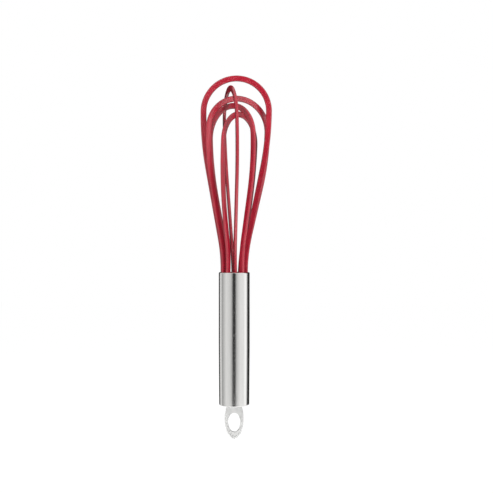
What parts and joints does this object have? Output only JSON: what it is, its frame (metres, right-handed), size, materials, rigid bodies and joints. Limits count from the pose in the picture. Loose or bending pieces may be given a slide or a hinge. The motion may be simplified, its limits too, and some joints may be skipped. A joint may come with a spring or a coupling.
{
  "type": "balloon whisk",
  "caption": "Balloon whisk with nested silicone-covered spring loops, a round satin steel handle and a flat hanging eye.",
  "frame": {"origin": "on the handle's axis, half way along the handle tube", "axes": "+Z along the handle's axis towards the loops, +Y square to the flat of the hanging eye; the largest loop lies close to the XZ plane"},
  "size_m": [0.0499, 0.0475, 0.254],
  "materials": {
    "red_silicone": "satin moulded silicone",
    "satin_steel": "fine lengthwise brushing",
    "plate_steel": "tumbled satin",
    "spring_steel": "drawn wire",
    "holder_plastic": "moulded nylon",
    "potting_resin": "cast epoxy"
  },
  "bodies": {
    "root": {"loop_sleeve_1": "red_silicone", "loop_sleeve_2": "red_silicone", "loop_sleeve_3": "red_silicone", "loop_sleeve_4": "red_silicone", "loop_sleeve_5": "red_silicone", "core_wire_1": "spring_steel", "core_wire_2": "spring_steel", "core_wire_3": "spring_steel", "core_wire_4": "spring_steel", "core_wire_5": "spring_steel", "handle_tube": "satin_steel", "wire_holder": "holder_plastic", "retaining_disc": "plate_steel", "potting_fill": "potting_resin", "end_cap": "satin_steel", "hanging_eye": "plate_steel"}
  },
  "joints": []
}
